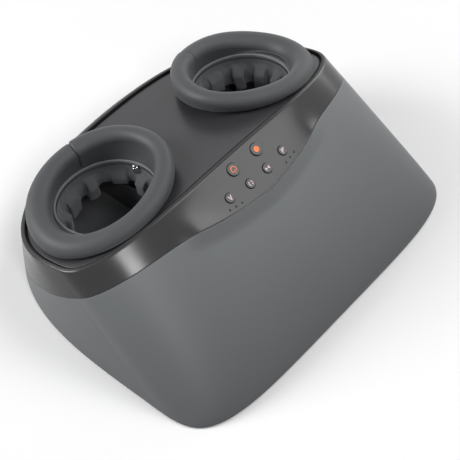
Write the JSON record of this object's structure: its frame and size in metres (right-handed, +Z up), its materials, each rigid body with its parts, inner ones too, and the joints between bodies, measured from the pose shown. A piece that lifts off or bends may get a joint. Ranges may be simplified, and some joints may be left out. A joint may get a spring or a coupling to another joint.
{
  "type": "foot massager",
  "caption": "Two-foot massager with padded ankle openings, cloth liners, a six-button panel, kneading rollers and air bags",
  "frame": {"origin": "centre of the foot outline on the floor plane, under the rubber feet", "axes": "X runs across both feet, Y runs back from the toe slope to the user's side, Z is up"},
  "size_m": [0.45, 0.361, 0.1603],
  "materials": {
    "shell_satin": "satin moulded plastic",
    "band_gloss": "smooth plastic with a soft gloss",
    "deck_satin": "satin dark plastic",
    "base_black": "moulded plastic",
    "collar_black": "moulded plastic",
    "ring_leather": "smooth coated cloth over foam",
    "liner_cloth": "thin woven cloth",
    "zip_coil": "nylon coil",
    "zip_metal": "plated",
    "foot_rubber": "non-slip rubber",
    "screw_steel": "plated steel",
    "tray_black": "moulded plastic",
    "bag_rubber": "coated air bag",
    "button_dark": "semi-gloss key cap",
    "indicator_dark": "unlit light pipe",
    "board_green": "lacquered circuit board",
    "switch_black": "moulded plastic",
    "ribbon_grey": "flat ribbon cable",
    "chip_black": "board parts",
    "inlet_black": "moulded plastic",
    "pin_steel": "plated pins",
    "wire_black": "insulated wire",
    "wire_red": "insulated wire",
    "shaft_steel": "turned steel",
    "wheel_grey": "firm massage wheel",
    "bearing_ivory": "acetal",
    "gear_ivory": "acetal",
    "pulley_black": "moulded plastic",
    "belt_rubber": "flat drive belt",
    "pinion_brass": "cut brass",
    "gearhead_alu": "cast housing",
    "motor_steel": "plated can",
    "bracket_steel": "folded sheet",
    "pump_black": "moulded plastic",
    "valve_white": "moulded plastic",
    "hose_clear": "soft air hose"
  },
  "bodies": {
    "housing": {"lower_housing": "shell_satin", "base_plate": "base_black", "base_screws": "screw_steel", "rubber_feet": "foot_rubber", "upper_cover": "band_gloss", "deck_plate": "deck_satin", "ring_collar_left": "collar_black", "ring_collar_right": "collar_black", "ring_cushion_left": "ring_leather", "ring_cushion_right": "ring_leather", "liner_cuff_left": "liner_cloth", "liner_cuff_right": "liner_cloth", "zip_track_left": "zip_coil", "zip_track_right": "zip_coil", "foot_tray_left": "tray_black", "foot_tray_right": "tray_black", "chamber_wall_left": "tray_black", "chamber_wall_right": "tray_black", "sole_liner_left": "liner_cloth", "sole_liner_right": "liner_cloth", "foot_vault_left": "tray_black", "foot_vault_right": "tray_black", "instep_bag_left": "bag_rubber", "instep_bag_right": "bag_rubber", "indicator_lights": "indicator_dark", "button_board": "board_green", "tact_switches": "switch_black", "ribbon_cable": "ribbon_grey", "control_board": "board_green", "board_parts": "chip_black", "power_inlet": "inlet_black", "inlet_pins": "pin_steel", "power_wires": "wire_black", "drive_wires": "wire_red", "bearing_blocks": "bearing_ivory", "roller_belt": "belt_rubber", "gearhead": "gearhead_alu", "drive_motor": "motor_steel", "motor_bracket": "bracket_steel", "air_pump": "pump_black", "valve_block": "valve_white", "air_hoses": "hose_clear"},
    "key_on_off": {"button_on_off": "button_dark"},
    "key_stop": {"button_stop": "button_dark"},
    "key_auto": {"button_auto": "button_dark"},
    "key_roller": {"button_roller": "button_dark"},
    "key_air": {"button_air": "button_dark"},
    "key_intensity": {"button_intensity": "button_dark"},
    "slider_left": {"zip_slider_left": "zip_metal"},
    "pull_left": {"zip_pull_left": "zip_metal"},
    "slider_right": {"zip_slider_right": "zip_metal"},
    "pull_right": {"zip_pull_right": "zip_metal"},
    "front_roller": {"front_roller_shaft": "shaft_steel", "front_massage_wheels": "wheel_grey", "roller_gear": "gear_ivory", "front_pulley": "pulley_black"},
    "rear_roller": {"rear_roller_shaft": "shaft_steel", "rear_massage_wheels": "wheel_grey", "rear_pulley": "pulley_black"},
    "pinion": {"drive_pinion": "pinion_brass"}
  },
  "joints": [
    {"name": "press_on_off", "type": "slide", "parent": "housing", "child": "key_on_off", "axis": [0, 0.515, -0.8572], "range_m": [0, 0.0008], "stiffness_N_per_m": 600},
    {"name": "press_stop", "type": "slide", "parent": "housing", "child": "key_stop", "axis": [0, 0.515, -0.8572], "range_m": [0, 0.0008], "stiffness_N_per_m": 600},
    {"name": "press_auto", "type": "slide", "parent": "housing", "child": "key_auto", "axis": [0, 0.515, -0.8572], "range_m": [0, 0.0008], "stiffness_N_per_m": 600},
    {"name": "press_roller", "type": "slide", "parent": "housing", "child": "key_roller", "axis": [0, 0.515, -0.8572], "range_m": [0, 0.0008], "stiffness_N_per_m": 600},
    {"name": "press_air", "type": "slide", "parent": "housing", "child": "key_air", "axis": [0, 0.515, -0.8572], "range_m": [0, 0.0008], "stiffness_N_per_m": 600},
    {"name": "press_intensity", "type": "slide", "parent": "housing", "child": "key_intensity", "axis": [0, 0.515, -0.8572], "range_m": [0, 0.0008], "stiffness_N_per_m": 600},
    {"name": "front_roller_spin", "type": "hinge", "parent": "housing", "child": "front_roller", "pos_m": [0, -0.045, 0.0215], "axis": [1, 0, 0], "continuous": true},
    {"name": "rear_roller_spin", "type": "hinge", "parent": "housing", "child": "rear_roller", "pos_m": [0, 0.07, 0.0215], "axis": [1, 0, 0], "continuous": true},
    {"name": "pinion_spin", "type": "hinge", "parent": "housing", "child": "pinion", "pos_m": [0, -0.02813, 0.04161], "axis": [1, 0, 0], "continuous": true},
    {"name": "zip_run_left", "type": "hinge", "parent": "housing", "child": "slider_left", "pos_m": [-0.1135, 0.0615, 0.12819], "axis": [-0.0558, 0.1922, 0.9798], "range_deg": [-150, 150]},
    {"name": "pull_swing_left", "type": "hinge", "parent": "slider_left", "child": "pull_left", "pos_m": [-0.06102, 0.06655, 0.1161], "axis": [-0.139, 0.9702, -0.1983], "range_deg": [0, 75]},
    {"name": "zip_run_right", "type": "hinge", "parent": "housing", "child": "slider_right", "pos_m": [0.1135, 0.0615, 0.12819], "axis": [0.0558, 0.1922, 0.9798], "range_deg": [-150, 150]},
    {"name": "pull_swing_right", "type": "hinge", "parent": "slider_right", "child": "pull_right", "pos_m": [0.06102, 0.06655, 0.1161], "axis": [-0.139, -0.9702, 0.1983], "range_deg": [0, 75]}
  ],
  "couplings": [
    {"joint": "rear_roller_spin", "follows": "front_roller_spin", "ratio": 1},
    {"joint": "pinion_spin", "follows": "front_roller_spin", "ratio": -2}
  ]
}
